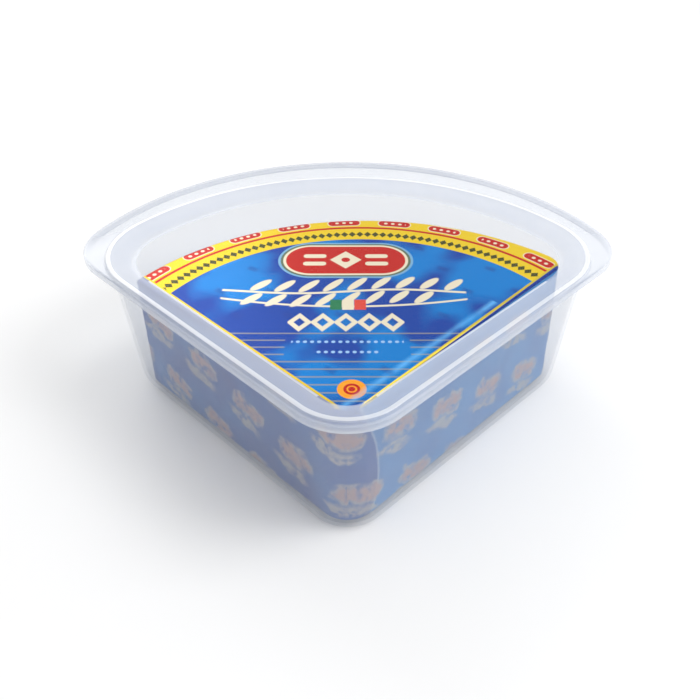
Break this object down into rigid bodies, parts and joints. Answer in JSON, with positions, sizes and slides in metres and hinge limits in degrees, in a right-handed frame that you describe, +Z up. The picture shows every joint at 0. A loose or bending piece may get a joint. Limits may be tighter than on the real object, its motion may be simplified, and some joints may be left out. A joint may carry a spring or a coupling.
{
  "type": "foil-wrapped blue cheese wedge in a lidded tub",
  "caption": "Retail pack of blue cheese: a foil-wrapped wedge lying in a clear plastic tub shaped like a rounded quarter circle, shut by a press-on lid with a wide grip at the back.",
  "frame": {"origin": "middle of the pack's bounding box, on the flat underside of the tub, which is the surface it rests on", "axes": "+Z up; +Y from the wedge's apex towards its curved back and the grip; +X to the right as seen from the apex"},
  "size_m": [0.1482, 0.1306, 0.04],
  "materials": {
    "tub_plastic": "milky translucent thin plastic, glossy, bluish over the foil",
    "printed_foil": "blue printed aluminium foil with yellow, red and cream fields, satin gloss with soft folds",
    "lid_plastic": "clear thin plastic, glossy, milky where it bends at the rim"
  },
  "bodies": {
    "root": {"tub": "tub_plastic", "foil_wedge": "printed_foil", "lid": "lid_plastic"}
  },
  "joints": []
}
